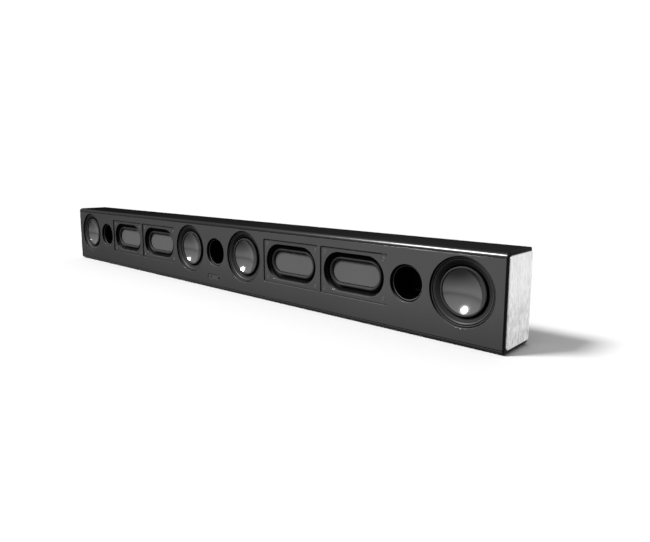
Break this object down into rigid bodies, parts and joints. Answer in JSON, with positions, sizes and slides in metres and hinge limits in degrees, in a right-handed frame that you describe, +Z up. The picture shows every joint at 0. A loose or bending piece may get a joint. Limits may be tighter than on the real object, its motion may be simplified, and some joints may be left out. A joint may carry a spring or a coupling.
{
  "type": "soundbar",
  "caption": "Long low soundbar cabinet with exposed round drivers, oval passive radiators, round bass ports and brushed metal end plates.",
  "frame": {"origin": "on the floor under the middle of the bar, at the bottom centre of its bounding box", "axes": "+X along the bar towards the listener's right, -Y towards the listener, +Z up"},
  "size_m": [1.084, 0.066, 0.12],
  "materials": {
    "shell_black": "satin black painted extrusion",
    "baffle_charcoal": "fine grained matt moulding",
    "cap_black": "matt black moulding",
    "brushed_aluminium": "vertically brushed, bright bevel",
    "basket_charcoal": "satin charcoal coated",
    "surround_rubber": "moulded butyl rubber",
    "cone_grey": "glossy dark grey lacquer",
    "spider_cloth": "varnished cloth",
    "magnet_steel": "plated pole plates and ferrite",
    "radiator_grey": "matt mid-grey coated",
    "port_black": "satin black moulding",
    "window_smoke": "smoked gloss",
    "socket_black": "matt black moulding",
    "socket_metal": "nickel plated shell",
    "control_grey": "satin moulding",
    "board_green": "solder mask",
    "heat_sink_metal": "bare extrusion",
    "foot_rubber": "matt rubber pad",
    "plate_steel": "zinc plated"
  },
  "bodies": {
    "cabinet": {"top_cover": "shell_black", "rear_cover": "shell_black", "base_tray": "shell_black", "front_baffle": "baffle_charcoal", "end_cap_left": "cap_black", "end_plate_left": "brushed_aluminium", "wall_plate_left": "plate_steel", "end_cap_right": "cap_black", "end_plate_right": "brushed_aluminium", "wall_plate_right": "plate_steel", "driver_basket_1": "basket_charcoal", "driver_surround_1": "surround_rubber", "driver_spider_1": "spider_cloth", "driver_magnet_1": "magnet_steel", "driver_basket_2": "basket_charcoal", "driver_surround_2": "surround_rubber", "driver_spider_2": "spider_cloth", "driver_magnet_2": "magnet_steel", "driver_basket_3": "basket_charcoal", "driver_surround_3": "surround_rubber", "driver_spider_3": "spider_cloth", "driver_magnet_3": "magnet_steel", "driver_basket_4": "basket_charcoal", "driver_surround_4": "surround_rubber", "driver_spider_4": "spider_cloth", "driver_magnet_4": "magnet_steel", "radiator_frame_1": "baffle_charcoal", "radiator_surround_1": "surround_rubber", "radiator_frame_2": "baffle_charcoal", "radiator_surround_2": "surround_rubber", "radiator_frame_3": "baffle_charcoal", "radiator_surround_3": "surround_rubber", "radiator_frame_4": "baffle_charcoal", "radiator_surround_4": "surround_rubber", "port_tube_left": "port_black", "port_tube_centre": "port_black", "port_tube_right": "port_black", "status_window": "window_smoke", "connector_panel": "shell_black", "power_inlet": "socket_black", "video_socket": "socket_metal", "optical_socket": "socket_black", "line_socket": "socket_black", "main_board": "board_green", "power_board": "board_green", "heat_sink": "heat_sink_metal", "foot_1": "foot_rubber", "foot_2": "foot_rubber", "foot_3": "foot_rubber", "foot_4": "foot_rubber"},
    "driver_1": {"driver_cone_1": "cone_grey"},
    "driver_2": {"driver_cone_2": "cone_grey"},
    "driver_3": {"driver_cone_3": "cone_grey"},
    "driver_4": {"driver_cone_4": "cone_grey"},
    "radiator_1": {"radiator_plate_1": "radiator_grey"},
    "radiator_2": {"radiator_plate_2": "radiator_grey"},
    "radiator_3": {"radiator_plate_3": "radiator_grey"},
    "radiator_4": {"radiator_plate_4": "radiator_grey"},
    "rocker": {"power_rocker": "control_grey"},
    "button": {"pairing_button": "control_grey"}
  },
  "joints": [
    {"name": "driver_travel_1", "type": "slide", "parent": "cabinet", "child": "driver_1", "axis": [0, -1, 0], "range_m": [-0.003, 0.003], "stiffness_N_per_m": 1250, "deforming": ["driver_surround_1", "driver_spider_1"]},
    {"name": "driver_travel_2", "type": "slide", "parent": "cabinet", "child": "driver_2", "axis": [0, -1, 0], "range_m": [-0.003, 0.003], "stiffness_N_per_m": 1250, "deforming": ["driver_surround_2", "driver_spider_2"]},
    {"name": "driver_travel_3", "type": "slide", "parent": "cabinet", "child": "driver_3", "axis": [0, -1, 0], "range_m": [-0.003, 0.003], "stiffness_N_per_m": 1250, "deforming": ["driver_surround_3", "driver_spider_3"]},
    {"name": "driver_travel_4", "type": "slide", "parent": "cabinet", "child": "driver_4", "axis": [0, -1, 0], "range_m": [-0.003, 0.003], "stiffness_N_per_m": 1250, "deforming": ["driver_surround_4", "driver_spider_4"]},
    {"name": "radiator_travel_1", "type": "slide", "parent": "cabinet", "child": "radiator_1", "axis": [0, -1, 0], "range_m": [-0.004, 0.004], "stiffness_N_per_m": 700, "deforming": ["radiator_surround_1"]},
    {"name": "radiator_travel_2", "type": "slide", "parent": "cabinet", "child": "radiator_2", "axis": [0, -1, 0], "range_m": [-0.004, 0.004], "stiffness_N_per_m": 700, "deforming": ["radiator_surround_2"]},
    {"name": "radiator_travel_3", "type": "slide", "parent": "cabinet", "child": "radiator_3", "axis": [0, -1, 0], "range_m": [-0.004, 0.004], "stiffness_N_per_m": 700, "deforming": ["radiator_surround_3"]},
    {"name": "radiator_travel_4", "type": "slide", "parent": "cabinet", "child": "radiator_4", "axis": [0, -1, 0], "range_m": [-0.004, 0.004], "stiffness_N_per_m": 700, "deforming": ["radiator_surround_4"]},
    {"name": "rocker_tilt", "type": "hinge", "parent": "cabinet", "child": "rocker", "pos_m": [-0.17, 0.015, 0.06], "axis": [-1, 0, 0], "range_deg": [0, 14]},
    {"name": "button_press", "type": "slide", "parent": "cabinet", "child": "button", "axis": [0, -1, 0], "range_m": [0, 0.0012], "stiffness_N_per_m": 400}
  ]
}
